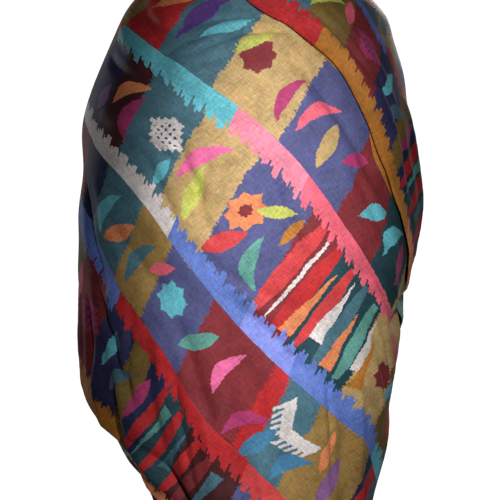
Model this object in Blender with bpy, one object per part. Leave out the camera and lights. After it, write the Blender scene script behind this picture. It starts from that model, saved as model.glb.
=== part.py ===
"""Cotton shawl, worn: one long rectangle of woven cotton wound round the shoulders.

The cloth is modelled as it hangs, as hollow walls open at the neck and at the hem.
Three stretches of the one cloth show: the under stretch round the back, the front stretch
that lies over it, and the shoulder stretch thrown over the right shoulder on top of both.
Metres, +Z up, front towards -Y. The origin lies between the shoulders that carry the cloth.

Places on the cloth are given by an angle round the body and a height. The angle is in degrees,
0 at the middle of the front, 90 at the +X side, 180 at the middle of the back.
"""
import math

import bpy
import numpy as np

# Cloth, as it lies on the body
WALL = 0.0020            # thickness of the cotton with its crinkle
AIR = 0.0009             # space between one layer of cloth and the next
LAYER = WALL + AIR
SQUARENESS = 2.3         # 2 would be an ellipse; arms under the cloth make its rings squarer

# Fineness of the walls
ANGLE_STEP = 7.5         # degrees from one column of points to the next
ROW_STEP = 0.031         # length of cloth from one row of points to the next
RUNG_ANGLE = 60.0        # where round the body that length is measured
EDGE_ROOM = 0.004        # least height from an edge to the row before it
FOLD_SAMPLES = 24        # points along a fold's line

# The form round a general figure with its arms under the cloth. Each row is a ring.
RING_COLUMNS = ("height", "left", "right", "front", "back")
RINGS = (
    (0.045, 0.060, 0.062, 0.055, 0.058),    # neck opening
    (0.020, 0.078, 0.082, 0.064, 0.068),
    (-0.010, 0.112, 0.118, 0.078, 0.083),
    (-0.060, 0.168, 0.182, 0.100, 0.108),   # shoulders
    (-0.120, 0.203, 0.213, 0.124, 0.131),
    (-0.180, 0.229, 0.228, 0.139, 0.145),   # chest and upper arms
    (-0.240, 0.244, 0.238, 0.149, 0.152),
    (-0.330, 0.251, 0.246, 0.157, 0.154),
    (-0.430, 0.253, 0.246, 0.159, 0.146),   # right elbow
    (-0.510, 0.253, 0.228, 0.156, 0.137),
    (-0.570, 0.250, 0.219, 0.152, 0.132),
    (-0.640, 0.240, 0.216, 0.147, 0.131),   # left elbow
    (-0.720, 0.196, 0.201, 0.141, 0.134),
    (-0.800, 0.142, 0.182, 0.136, 0.136),   # hips
    (-0.900, 0.122, 0.166, 0.130, 0.133),
    (-1.020, 0.118, 0.156, 0.125, 0.128),
    (-1.150, 0.114, 0.150, 0.122, 0.124),
)

# The largest folds. Each row is a soft ridge (rise above zero) or trough (below zero) on a line
# through three places, each an angle and a height. It dies away at both ends.
FOLD_COLUMNS = (
    "name", "from_angle", "from_height", "mid_angle", "mid_height", "to_angle", "to_height",
    "half_width", "rise",
)
FOLDS = (
    ("cowl_crease", -40, -0.145, -14, -0.095, 6, -0.080, 0.026, -0.007),
    ("cowl_roll", -30, -0.200, -8, -0.120, 14, -0.155, 0.030, 0.008),
    ("shoulder_valley", 10, -0.135, 29, -0.212, 52, -0.390, 0.036, -0.009),
    ("shoulder_roll", 6, -0.050, 36, -0.150, 64, -0.340, 0.036, 0.008),
    ("left_shoulder_fold", -64, -0.070, -40, -0.115, -24, -0.180, 0.028, -0.006),
    ("left_elbow_fold_outer", -52, -0.550, -57, -0.670, -72, -0.790, 0.034, -0.008),
    ("left_elbow_ridge", -42, -0.540, -45, -0.660, -57, -0.790, 0.032, 0.006),
    ("left_elbow_fold_inner", -32, -0.560, -33, -0.680, -43, -0.820, 0.034, -0.009),
    ("right_hip_valley", 32, -0.600, 38, -0.710, 52, -0.860, 0.032, -0.009),
    ("right_side_ridge", 45, -0.470, 60, -0.560, 80, -0.670, 0.029, 0.006),
    ("right_elbow_tuck", 100, -0.430, 86, -0.510, 68, -0.575, 0.034, -0.008),
    ("front_hang_trough", -14, -0.790, -6, -0.890, 2, -1.020, 0.034, -0.008),
    ("front_hang_ridge", 6, -0.780, 13, -0.900, 20, -1.060, 0.036, 0.008),
    ("corner_trough", 36, -0.860, 40, -0.950, 46, -1.050, 0.034, -0.008),
    ("right_side_trough", 98, -0.580, 106, -0.690, 112, -0.830, 0.036, -0.010),
    ("right_side_swell", 78, -0.660, 88, -0.780, 92, -0.900, 0.036, 0.007),
    ("nape_fold", 148, -0.030, 180, -0.062, 212, -0.030, 0.028, -0.006),
    ("back_pull_upper", 122, -0.110, 148, -0.215, 190, -0.330, 0.038, 0.010),
    ("back_pull_trough", 118, -0.180, 146, -0.300, 186, -0.440, 0.036, -0.009),
    ("back_pull_lower", 116, -0.270, 142, -0.390, 172, -0.520, 0.038, 0.009),
    ("back_end_fold", 212, -0.080, 200, -0.280, 178, -0.540, 0.034, -0.008),
    ("left_side_trough", -96, -0.260, -104, -0.440, -98, -0.600, 0.036, -0.010),
    ("left_back_ridge", -118, -0.300, -124, -0.520, -118, -0.760, 0.038, 0.009),
    ("left_back_trough", -134, -0.480, -140, -0.680, -134, -0.900, 0.036, -0.010),
    ("seat_ridge", 205, -0.620, 210, -0.760, 208, -0.930, 0.036, 0.009),
    ("seat_trough", 188, -0.640, 190, -0.770, 194, -0.930, 0.034, -0.010),
    ("seat_middle_ridge", 170, -0.660, 173, -0.790, 176, -0.930, 0.036, 0.008),
    ("seat_right_trough", 152, -0.680, 153, -0.800, 157, -0.930, 0.034, -0.009),
)

# The edges of each stretch. Each row is a section: where the cloth starts and ends at that
# angle, and how far its lower edge stands off the layer below, or is tucked in.
SECTION_COLUMNS = ("angle", "top", "bottom", "flare")
UNDER_SECTIONS = (
    (37.5, 0.012, -0.852, -0.005),          # hidden ends are tucked in
    (60.0, 0.014, -0.880, -0.004),
    (90.0, 0.018, -0.925, 0.000),
    (120.0, 0.020, -0.935, 0.005),
    (150.0, 0.022, -0.925, 0.006),
    (180.0, 0.024, -0.935, 0.005),
    (210.0, 0.022, -0.930, 0.006),
    (240.0, 0.020, -0.920, 0.005),
    (270.0, 0.018, -0.905, 0.004),
    (300.0, 0.014, -0.883, 0.000),
    (322.5, 0.012, -0.852, -0.005),
)
FRONT_SECTIONS = (
    (-165.0, 0.034, -0.220, 0.000),
    (-142.5, 0.033, -0.335, 0.000),
    (-120.0, 0.031, -0.450, 0.005),
    (-97.5, 0.029, -0.585, 0.007),
    (-82.5, 0.028, -0.655, 0.008),
    (-67.5, 0.027, -0.715, 0.009),
    (-52.5, 0.025, -0.815, 0.009),
    (-37.5, 0.024, -0.885, 0.007),
    (-15.0, 0.022, -0.975, 0.006),
    (7.5, 0.022, -1.060, 0.005),
    (22.5, 0.023, -1.115, 0.004),           # lowest corner of the cloth
    (37.5, 0.024, -1.080, 0.005),
    (60.0, 0.026, -1.000, 0.006),
    (90.0, 0.030, -0.890, 0.006),
    (120.0, 0.032, -0.780, 0.005),
    (142.5, 0.034, -0.690, 0.000),
    (165.0, 0.034, -0.560, 0.000),
)
SHOULDER_SECTIONS = (
    (-15.0, 0.036, 0.000, 0.001),
    (-7.5, 0.037, -0.045, 0.002),
    (0.0, 0.038, -0.078, 0.003),
    (15.0, 0.039, -0.124, 0.005),
    (30.0, 0.040, -0.180, 0.005),
    (45.0, 0.041, -0.280, 0.005),
    (60.0, 0.042, -0.390, 0.005),
    (75.0, 0.042, -0.480, 0.005),
    (90.0, 0.043, -0.545, 0.005),
    (120.0, 0.044, -0.610, 0.005),
    (150.0, 0.045, -0.665, 0.006),
    (172.5, 0.045, -0.695, 0.006),          # corner of the end thrown over the shoulder
    (187.5, 0.045, -0.640, 0.006),
    (202.5, 0.044, -0.520, 0.006),
    (217.5, 0.043, -0.385, 0.006),
    (232.5, 0.042, -0.225, 0.006),
    (240.0, 0.041, -0.120, 0.006),
)
FLARE_REACH = 0.060      # how far up from its lower edge a stretch stands off

# name, sections, layer (0 lies on the body), colour, roughness
STRETCH_COLUMNS = ("name", "sections", "layer", "colour", "roughness")
STRETCHES = (
    ("under_stretch", UNDER_SECTIONS, 0, (0.11, 0.08, 0.05), 0.80),
    ("front_stretch", FRONT_SECTIONS, 1, (0.10, 0.19, 0.24), 0.75),
    ("shoulder_stretch", SHOULDER_SECTIONS, 2, (0.45, 0.20, 0.05), 0.75),
)


def clear_scene():
    for old in list(bpy.data.objects):
        bpy.data.objects.remove(old, do_unlink=True)


def column(table, columns, name):
    return np.array([row[columns.index(name)] for row in table], dtype=float)


def smooth_between(places, values, at):
    """Reads a table column at any place, on one smooth curve through its rows."""
    slopes = np.gradient(values, places)
    at = np.clip(at, places[0], places[-1])
    low = np.clip(np.searchsorted(places, at) - 1, 0, len(places) - 2)
    span = places[low + 1] - places[low]
    part = (at - places[low]) / span
    near = values[low] * (2 * part**3 - 3 * part**2 + 1) + slopes[low] * span * (part**3 - 2 * part**2 + part)
    far = values[low + 1] * (3 * part**2 - 2 * part**3) + slopes[low + 1] * span * (part**3 - part**2)
    return near + far


def ring_size(name, height):
    heights = column(RINGS, RING_COLUMNS, "height")[::-1]
    return smooth_between(heights, column(RINGS, RING_COLUMNS, name)[::-1], height)


def form_point(angle, height):
    """The point of the plain form at an angle and a height, before folds and layers."""
    turn = np.radians(angle)
    across, ahead = np.sin(turn), np.cos(turn)
    power = 2 / SQUARENESS
    reach_x = np.where(across < 0, ring_size("left", height), ring_size("right", height))
    reach_y = np.where(ahead > 0, ring_size("front", height), ring_size("back", height))
    x = reach_x * np.sign(across) * np.abs(across) ** power
    y = -reach_y * np.sign(ahead) * np.abs(ahead) ** power
    return np.stack([x, y, np.broadcast_to(height, x.shape)], axis=-1)


def outward(angle, height):
    """Unit vectors that point straight out of the form."""
    turn_step, rise_step = 1.0, 0.004
    along = form_point(angle + turn_step, height) - form_point(angle - turn_step, height)
    up = form_point(angle, height + rise_step) - form_point(angle, height - rise_step)
    normal = np.cross(along, up)
    return normal / np.linalg.norm(normal, axis=-1, keepdims=True)


def fold_line(fold):
    """Points of a fold's line on the form, and how much of its rise it has at each."""
    part = np.linspace(0.0, 1.0, FOLD_SAMPLES)
    place = dict(zip(FOLD_COLUMNS, fold))
    weights = ((1 - part) ** 2, 2 * part * (1 - part), part**2)
    angle = sum(w * place[end + "_angle"] for w, end in zip(weights, ("from", "mid", "to")))
    height = sum(w * place[end + "_height"] for w, end in zip(weights, ("from", "mid", "to")))
    strength = np.sin(math.pi * np.clip(part, 0.0, 1.0)) ** 0.7
    return form_point(angle, height), strength


def fold_rise(points):
    """How far all the folds together lift the cloth at each point of the form."""
    rise = np.zeros(points.shape[:-1])
    for fold in FOLDS:
        place = dict(zip(FOLD_COLUMNS, fold))
        line, strength = fold_line(fold)
        away = np.linalg.norm(points[..., None, :] - line, axis=-1)
        nearest = away.argmin(axis=-1)
        reach = np.clip(away.min(axis=-1) / place["half_width"], 0.0, 1.0)
        rise += place["rise"] * strength[nearest] * (1 + np.cos(math.pi * reach)) / 2
    return rise


def rung_heights():
    """Heights shared by every stretch, a row step apart along the cloth, so that layers nest."""
    fine = np.linspace(RINGS[0][0], RINGS[-1][0], 1200)
    line = form_point(np.full(fine.shape, RUNG_ANGLE), fine)
    length = np.concatenate([[0.0], np.linalg.norm(np.diff(line, axis=0), axis=1).cumsum()])
    count = math.floor(length[-1] / ROW_STEP)
    return np.interp(ROW_STEP * np.arange(count + 1), length, fine)


def stretch_columns(sections):
    """For each angle of a stretch: the heights of its points from top to bottom, and its flare."""
    places = column(sections, SECTION_COLUMNS, "angle")
    steps = round((places[-1] - places[0]) / ANGLE_STEP)
    angles = places[0] + ANGLE_STEP * np.arange(steps + 1)
    top = smooth_between(places, column(sections, SECTION_COLUMNS, "top"), angles)
    bottom = smooth_between(places, column(sections, SECTION_COLUMNS, "bottom"), angles)
    flare = np.interp(angles, places, column(sections, SECTION_COLUMNS, "flare"))
    rungs = rung_heights()
    for i, angle in enumerate(angles):
        inside = rungs[(rungs < top[i] - EDGE_ROOM) & (rungs > bottom[i] + EDGE_ROOM)]
        yield angle, [top[i], *inside, bottom[i]], flare[i]


def between_columns(left, right, left_start, right_start):
    """Three-sided faces between two columns of points, cut the same way wherever they share rungs."""
    faces = []
    i = j = 0
    while i < len(left) - 1 or j < len(right) - 1:
        left_ends, right_ends = i == len(left) - 1, j == len(right) - 1
        a, b = left_start + i, right_start + j
        if not left_ends and not right_ends:
            left_next, right_next = left[i + 1], right[j + 1]
            last_pair = i == len(left) - 2 and j == len(right) - 2
            if last_pair or abs(left_next - right_next) < EDGE_ROOM / 2:
                faces.extend([(a, a + 1, b + 1), (a, b + 1, b)])
                i, j = i + 1, j + 1
                continue
            step_left = left_next > right_next
        else:
            step_left = right_ends
        if step_left:
            faces.append((a, a + 1, b))
            i += 1
        else:
            faces.append((a, b + 1, b))
            j += 1
    return faces


def wall_mesh(name, inner, outer, faces):
    """One closed wall: the outer faces, the same faces turned round inside, and a rim."""
    count = len(outer)
    walls = list(faces) + [tuple(count + k for k in reversed(face)) for face in faces]
    edges = {(a, b) for face in faces for a, b in zip(face, face[1:] + face[:1])}
    rim = [(b, a, a + count, b + count) for a, b in sorted(edges) if (b, a) not in edges]
    mesh = bpy.data.meshes.new(name)
    mesh.from_pydata(np.concatenate([outer, inner]).tolist(), [], walls + rim)
    mesh.validate()
    return mesh


def cotton(name, colour, roughness):
    material = bpy.data.materials.new(name + "_cotton")
    material.use_nodes = True
    surface = material.node_tree.nodes["Principled BSDF"]
    surface.inputs["Base Color"].default_value = (*colour, 1.0)
    surface.inputs["Roughness"].default_value = roughness
    surface.inputs["Metallic"].default_value = 0.0
    return material


def build_stretch(name, sections, layer, colour, roughness):
    angles, heights, edge_lift, faces = [], [], [], []
    before = None
    for angle, chain, flare in stretch_columns(sections):
        start = len(heights)
        above_edge = np.clip((np.array(chain) - chain[-1]) / FLARE_REACH, 0.0, 1.0)
        angles.extend([angle] * len(chain))
        heights.extend(chain)
        edge_lift.extend(flare * (1 - above_edge) ** 2)
        if before is not None:
            faces.extend(between_columns(before, chain, before_start, start))
        before, before_start = chain, start
    angles, heights = np.array(angles), np.array(heights)
    form = form_point(angles, heights)
    lift = fold_rise(form) + np.array(edge_lift) + layer * LAYER
    normal = outward(angles, heights)
    inner = form + normal * lift[:, None]
    outer = form + normal * (lift + WALL)[:, None]
    mesh = wall_mesh(name, inner, outer, faces)
    mesh.materials.append(cotton(name, colour, roughness))
    mesh.shade_smooth()
    mesh.set_sharp_from_angle(angle=math.radians(50))
    stretch = bpy.data.objects.new(name, mesh)
    bpy.context.scene.collection.objects.link(stretch)
    return stretch


def main():
    clear_scene()
    for row in STRETCHES:
        build_stretch(**dict(zip(STRETCH_COLUMNS, row)))


main()
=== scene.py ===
# %% [markdown]
# # A cotton shawl, worn wound round the shoulders
#
# The real object is one long rectangle of hand-woven cotton, with comb-toothed bands along it and
# blocks of colour, leaves, stars and bars between them. It is wound round the shoulders and over
# the folded arms, so three stretches of the one cloth show: an under stretch round the back, a
# front stretch over it, and a shoulder stretch on top. This script dresses the plain solid model.

# %% Load the frame
import math

import bpy
import numpy as np
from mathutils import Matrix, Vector


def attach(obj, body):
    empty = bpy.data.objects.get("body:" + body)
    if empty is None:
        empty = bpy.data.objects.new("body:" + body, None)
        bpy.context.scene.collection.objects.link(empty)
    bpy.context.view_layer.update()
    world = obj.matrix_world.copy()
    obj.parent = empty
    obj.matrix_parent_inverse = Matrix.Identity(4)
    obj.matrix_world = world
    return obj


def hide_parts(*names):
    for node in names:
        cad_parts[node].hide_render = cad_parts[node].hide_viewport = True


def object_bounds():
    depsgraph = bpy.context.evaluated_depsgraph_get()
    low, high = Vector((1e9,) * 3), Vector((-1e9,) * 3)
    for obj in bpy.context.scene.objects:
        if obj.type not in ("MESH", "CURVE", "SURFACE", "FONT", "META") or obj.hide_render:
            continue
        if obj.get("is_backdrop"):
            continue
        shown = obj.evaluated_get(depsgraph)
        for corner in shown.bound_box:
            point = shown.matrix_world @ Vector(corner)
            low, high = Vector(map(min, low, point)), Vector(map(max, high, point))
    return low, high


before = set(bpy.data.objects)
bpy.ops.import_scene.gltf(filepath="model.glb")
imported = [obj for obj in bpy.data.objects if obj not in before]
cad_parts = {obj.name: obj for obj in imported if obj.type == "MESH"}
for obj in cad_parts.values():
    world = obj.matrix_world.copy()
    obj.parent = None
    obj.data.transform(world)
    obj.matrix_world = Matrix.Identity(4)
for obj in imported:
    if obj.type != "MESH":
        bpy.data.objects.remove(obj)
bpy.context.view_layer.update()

# %% [markdown]
# ## The form that the cloth lies on
#
# Cloth takes the shape of what it lies on. So each point of it is given by an angle round the
# body (0 at the middle of the front, 90 at the +X side, 180 at the middle of the back) and a
# height, and the form turns the two into a place. The form is a stack of rings, the same one that
# the solid model uses. The dressed cloth folds deeper than the solid, and lies deeper still where
# another stretch covers it: nine tenths of each stretch is within 12 mm of its solid, and the
# deepest troughs are 25 mm away.

# %% The form's rings, and a smooth curve through any table
RINGS = (
    # height, then how far the ring reaches to the left, right, front and back
    (0.045, 0.06, 0.062, 0.055, 0.058),  # neck opening
    (0.02, 0.078, 0.082, 0.064, 0.068),
    (-0.01, 0.112, 0.118, 0.078, 0.083),
    (-0.06, 0.168, 0.182, 0.1, 0.108),  # shoulders
    (-0.12, 0.203, 0.213, 0.124, 0.131),
    (-0.18, 0.229, 0.228, 0.139, 0.145),  # chest and upper arms
    (-0.24, 0.244, 0.238, 0.149, 0.152),
    (-0.33, 0.251, 0.246, 0.157, 0.154),
    (-0.43, 0.253, 0.246, 0.159, 0.146),  # right elbow
    (-0.51, 0.253, 0.228, 0.156, 0.137),
    (-0.57, 0.25, 0.219, 0.152, 0.132),
    (-0.64, 0.24, 0.216, 0.147, 0.131),  # left elbow
    (-0.72, 0.196, 0.201, 0.141, 0.134),
    (-0.8, 0.142, 0.182, 0.136, 0.136),  # hips
    (-0.9, 0.122, 0.166, 0.13, 0.133),
    (-1.02, 0.118, 0.156, 0.125, 0.128),
    (-1.15, 0.114, 0.15, 0.122, 0.124),
)
RING_SIZES = dict(zip(("height", "left", "right", "front", "back"), np.array(RINGS[::-1]).T))
SQUARENESS = 2.3         # 2 would be an ellipse; arms under the cloth make its rings squarer


def smooth_between(places, values, at):
    """Reads a table column at any place, on one smooth curve through its rows."""
    slopes = np.gradient(values, places)
    at = np.clip(at, places[0], places[-1])
    low = np.clip(np.searchsorted(places, at) - 1, 0, len(places) - 2)
    span = places[low + 1] - places[low]
    part = (at - places[low]) / span
    near = values[low] * (2 * part**3 - 3 * part**2 + 1) + slopes[low] * span * (part**3 - 2 * part**2 + part)
    far = values[low + 1] * (3 * part**2 - 2 * part**3) + slopes[low + 1] * span * (part**3 - part**2)
    return near + far


def ring_size(name, height):
    return smooth_between(RING_SIZES["height"], RING_SIZES[name], height)


def form_point(angle, height):
    """The point of the plain form at an angle and a height, before folds and layers."""
    turn = np.radians(angle)
    across, ahead = np.sin(turn), np.cos(turn)
    power = 2 / SQUARENESS
    reach_x = np.where(across < 0, ring_size("left", height), ring_size("right", height))
    reach_y = np.where(ahead > 0, ring_size("front", height), ring_size("back", height))
    x = reach_x * np.sign(across) * np.abs(across) ** power
    y = -reach_y * np.sign(ahead) * np.abs(ahead) ** power
    return np.stack([x, y, np.broadcast_to(height, x.shape)], axis=-1)


def outward(angle, height):
    """Unit vectors that point straight out of the form."""
    turn_step, rise_step = 1.0, 0.004
    along = form_point(angle + turn_step, height) - form_point(angle - turn_step, height)
    up = form_point(angle, height + rise_step) - form_point(angle, height - rise_step)
    normal = np.cross(along, up)
    return normal / np.linalg.norm(normal, axis=-1, keepdims=True)


# %% [markdown]
# ## Folds and creases
#
# Pulled cotton makes soft ridges and troughs along the lines of pull: from the shoulders across
# the chest, round the elbows and down from the hips. Real folds aren't regular, so each is listed
# one by one: a line through three places, a half width and a rise (below zero is a trough). FOLDS
# holds the large ones, shared with the solid model, and CREASES the finer ones, on every side.

# %% Large folds and fine creases. Three pairs of angle and height, then half width and rise
FOLDS = (
    (-40, -0.145, -14, -0.095, 6, -0.08, 0.026, -0.007),  # cowl crease
    (-30, -0.2, -8, -0.12, 14, -0.155, 0.03, 0.008),  # cowl roll
    (10, -0.135, 29, -0.212, 52, -0.39, 0.036, -0.009),  # shoulder valley
    (6, -0.05, 36, -0.15, 64, -0.34, 0.036, 0.008),  # shoulder roll
    (-64, -0.07, -40, -0.115, -24, -0.18, 0.028, -0.006),  # left shoulder
    (-52, -0.55, -57, -0.67, -72, -0.79, 0.034, -0.008),  # left elbow, outer
    (-42, -0.54, -45, -0.66, -57, -0.79, 0.032, 0.006),
    (-32, -0.56, -33, -0.68, -43, -0.82, 0.034, -0.009),  # left elbow, inner
    (32, -0.6, 38, -0.71, 52, -0.86, 0.032, -0.009),  # right hip
    (45, -0.47, 60, -0.56, 80, -0.67, 0.029, 0.006),  # right side
    (100, -0.43, 86, -0.51, 68, -0.575, 0.034, -0.008),  # right elbow
    (-14, -0.79, -6, -0.89, 2, -1.02, 0.034, -0.008),  # front hang
    (6, -0.78, 13, -0.9, 20, -1.06, 0.036, 0.008),
    (36, -0.86, 40, -0.95, 46, -1.05, 0.034, -0.008),
    (98, -0.58, 106, -0.69, 112, -0.83, 0.036, -0.01),
    (78, -0.66, 88, -0.78, 92, -0.9, 0.036, 0.007),
    (148, -0.03, 180, -0.062, 212, -0.03, 0.028, -0.006),  # nape
    (122, -0.11, 148, -0.215, 190, -0.33, 0.038, 0.01),  # pull across the back
    (118, -0.18, 146, -0.3, 186, -0.44, 0.036, -0.009),
    (116, -0.27, 142, -0.39, 172, -0.52, 0.038, 0.009),
    (212, -0.08, 200, -0.28, 178, -0.54, 0.034, -0.008),
    (-96, -0.26, -104, -0.44, -98, -0.6, 0.036, -0.01),  # left side
    (-118, -0.3, -124, -0.52, -118, -0.76, 0.038, 0.009),
    (-134, -0.48, -140, -0.68, -134, -0.9, 0.036, -0.01),
    (205, -0.62, 210, -0.76, 208, -0.93, 0.036, 0.009),  # seat
    (188, -0.64, 190, -0.77, 194, -0.93, 0.034, -0.01),
    (170, -0.66, 173, -0.79, 176, -0.93, 0.036, 0.008),
    (152, -0.68, 153, -0.8, 157, -0.93, 0.034, -0.009),
)
CREASES = (
    (-24, -0.104, -5, -0.082, 9, -0.11, 0.026, -0.003),  # hollow below the cowl
    (-8, -0.132, 2, -0.112, 11, -0.124, 0.017, -0.0034),
    (-36, -0.168, -24, -0.132, -12, -0.128, 0.016, -0.0022),
    (-34, -0.215, -20, -0.262, -6, -0.335, 0.03, 0.0009),  # soft pulls over the front
    (-30, -0.186, -14, -0.222, 0, -0.285, 0.024, -0.0014),
    (6, -0.205, 16, -0.262, 26, -0.35, 0.026, -0.0013),
    (12, -0.33, 22, -0.4, 36, -0.47, 0.024, 0.0009),
    (-52, -0.39, -36, -0.44, -20, -0.52, 0.026, -0.0013),
    (-40, -0.36, -26, -0.42, -12, -0.49, 0.024, 0.0009),
    (-18, -0.42, -4, -0.48, 12, -0.52, 0.022, -0.0012),
    (14, -0.5, 26, -0.56, 44, -0.6, 0.024, -0.0014),
    (2, -0.56, 8, -0.64, 8, -0.74, 0.026, 0.0009),
    (-6, -0.6, -2, -0.69, -6, -0.78, 0.022, -0.0014),
    (-22, -0.272, -15, -0.34, -9, -0.43, 0.017, -0.0028),  # middle of the chest
    (-10, -0.29, -13, -0.35, -18, -0.405, 0.014, -0.0018),
    (2, -0.3, 8, -0.39, 18, -0.47, 0.018, -0.0018),
    (-8, -0.48, 4, -0.56, 22, -0.62, 0.02, -0.002),
    (-22, -0.52, -14, -0.6, -12, -0.69, 0.018, -0.002),
    (-48, -0.052, -30, -0.078, -12, -0.076, 0.018, -0.0022),
    (-34, -0.3, -25, -0.35, -18, -0.425, 0.013, -0.0018),  # below the chest
    (-22, -0.34, -12, -0.375, -2, -0.43, 0.013, 0.0007),
    (-78, -0.3, -66, -0.4, -50, -0.5, 0.018, -0.0024),  # left upper arm
    (-62, -0.33, -50, -0.41, -38, -0.5, 0.015, 0.0008),
    (-60, -0.47, -48, -0.56, -40, -0.69, 0.017, -0.003),  # long fold below the left elbow
    (-50, -0.7, -40, -0.78, -28, -0.86, 0.018, -0.0028),
    (-64, -0.64, -54, -0.72, -46, -0.8, 0.015, 0.0013),
    (-32, -0.262, -14, -0.33, 0, -0.385, 0.016, 0.0008),  # pull across the chest
    (-44, -0.25, -24, -0.3, -10, -0.345, 0.014, -0.0014),
    (-60, -0.235, -40, -0.262, -20, -0.3, 0.018, 0.0009),
    (-70, -0.15, -52, -0.178, -34, -0.205, 0.015, -0.002),  # left shoulder
    (-72, -0.1, -58, -0.132, -42, -0.16, 0.014, 0.001),
    (-50, -0.088, -34, -0.112, -20, -0.14, 0.012, 0.0009),
    (-22, -0.17, -8, -0.135, 6, -0.12, 0.012, -0.0024),  # cowl
    (-26, -0.19, -10, -0.16, 8, -0.17, 0.012, 0.0009),
    (4, -0.11, 18, -0.165, 34, -0.24, 0.014, 0.0013),  # beside the shoulder edge
    (14, -0.165, 30, -0.238, 44, -0.33, 0.02, -0.0015),
    (20, -0.215, 36, -0.3, 48, -0.4, 0.014, 0.0009),
    (30, -0.3, 42, -0.38, 54, -0.45, 0.013, -0.0018),
    (20, -0.095, 34, -0.13, 50, -0.215, 0.014, -0.0024),  # on the shoulder stretch
    (30, -0.085, 48, -0.14, 60, -0.25, 0.012, 0.001),
    (48, -0.18, 60, -0.265, 70, -0.37, 0.014, -0.0022),
    (70, -0.21, 78, -0.31, 84, -0.42, 0.016, 0.0013),
    (86, -0.24, 92, -0.36, 96, -0.47, 0.018, -0.003),
    (-46, -0.48, -50, -0.57, -60, -0.66, 0.012, 0.0012),  # left elbow
    (-38, -0.5, -40, -0.6, -48, -0.7, 0.011, -0.0022),
    (-28, -0.54, -28, -0.64, -36, -0.745, 0.013, 0.0013),
    (-22, -0.6, -22, -0.69, -28, -0.79, 0.012, -0.0024),
    (-14, -0.64, -13, -0.72, -18, -0.82, 0.014, 0.001),
    (-66, -0.5, -66, -0.57, -74, -0.64, 0.015, -0.0026),
    (-78, -0.48, -80, -0.56, -86, -0.64, 0.016, 0.0014),
    (-60, -0.58, -66, -0.64, -76, -0.7, 0.011, 0.001),
    (18, -0.6, 20, -0.69, 28, -0.79, 0.014, 0.0011),  # right hip
    (26, -0.59, 29, -0.68, 38, -0.79, 0.011, -0.0022),
    (40, -0.61, 46, -0.69, 58, -0.78, 0.012, 0.0013),
    (36, -0.43, 52, -0.49, 70, -0.56, 0.011, -0.002),  # right side
    (44, -0.42, 58, -0.475, 74, -0.53, 0.01, 0.0011),
    (50, -0.52, 64, -0.59, 80, -0.66, 0.01, -0.0022),
    (46, -0.56, 58, -0.64, 74, -0.73, 0.012, 0.0011),
    (84, -0.52, 90, -0.6, 94, -0.7, 0.015, 0.0015),
    (2, -0.7, 4, -0.8, 10, -0.93, 0.015, 0.0012),  # front hang
    (-6, -0.78, 0, -0.88, 6, -1.0, 0.013, 0.0011),
    (22, -0.8, 28, -0.9, 32, -1.04, 0.014, -0.0026),
    (50, -0.8, 56, -0.88, 62, -0.97, 0.015, 0.0014),
    (66, -0.76, 72, -0.86, 76, -0.95, 0.015, -0.0028),
    (-30, -0.8, -28, -0.85, -24, -0.92, 0.013, 0.0011),
    (132, -0.13, 156, -0.21, 184, -0.28, 0.013, -0.0026),  # shoulder blades
    (128, -0.2, 152, -0.29, 182, -0.38, 0.014, 0.0014),
    (124, -0.28, 146, -0.365, 172, -0.46, 0.013, -0.0026),
    (122, -0.36, 142, -0.44, 164, -0.54, 0.014, 0.0013),
    (150, -0.1, 176, -0.13, 204, -0.11, 0.013, 0.0012),
    (208, -0.12, 204, -0.23, 192, -0.36, 0.013, 0.0012),
    (222, -0.11, 216, -0.2, 206, -0.3, 0.012, -0.0022),
    (236, -0.28, 224, -0.42, 216, -0.56, 0.016, 0.0015),
    (246, -0.33, 238, -0.48, 230, -0.64, 0.015, -0.0028),
    (214, -0.44, 206, -0.54, 200, -0.64, 0.014, -0.0026),
    (-112, -0.18, -112, -0.3, -108, -0.42, 0.016, 0.0015),  # left side
    (-90, -0.16, -92, -0.27, -88, -0.38, 0.016, -0.0028),
    (-104, -0.48, -110, -0.58, -108, -0.7, 0.015, 0.0015),
    (-92, -0.64, -100, -0.74, -104, -0.85, 0.014, -0.0028),
    (-84, -0.7, -90, -0.79, -92, -0.88, 0.013, 0.0013),
    (106, -0.25, 110, -0.36, 108, -0.48, 0.015, 0.0014),  # right side, behind
    (114, -0.43, 122, -0.52, 130, -0.62, 0.014, -0.0026),
    (120, -0.56, 130, -0.65, 138, -0.76, 0.014, 0.0014),
    (136, -0.7, 140, -0.79, 142, -0.9, 0.014, -0.0028),
    (162, -0.7, 164, -0.8, 166, -0.92, 0.013, 0.0014),  # seat
    (180, -0.69, 182, -0.8, 184, -0.93, 0.013, -0.0026),
    (198, -0.66, 200, -0.78, 202, -0.92, 0.014, 0.0014),
    (220, -0.64, 224, -0.76, 222, -0.9, 0.014, -0.0028),
)
# Two wide shallow places, where the dressed cloth hangs closer than the solid.
SLACK = (
    (78, -0.44, 88, -0.76, 82, -1.12, 0.12, -0.008),  # right hip
    (62, 0.01, 76, -0.1, 84, -0.26, 0.08, -0.005),  # right shoulder
)
# All three stretches sink beside the folded edge of the shoulder stretch, itself the least.
EDGE_HOLLOWS = (
    (-20, 0.03, 0, -0.09, 24, -0.152, 0.048, -0.0085),
    (10, -0.112, 32, -0.185, 50, -0.318, 0.054, -0.0095),
    (38, -0.236, 54, -0.35, 78, -0.494, 0.046, -0.0085),
)
FOLD_SAMPLES = 64        # points along a fold's line
FOLD_FADE = 0.7          # below 1, a fold keeps its depth nearer to its ends
TROUGH_SHARPNESS = 1.7


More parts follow.
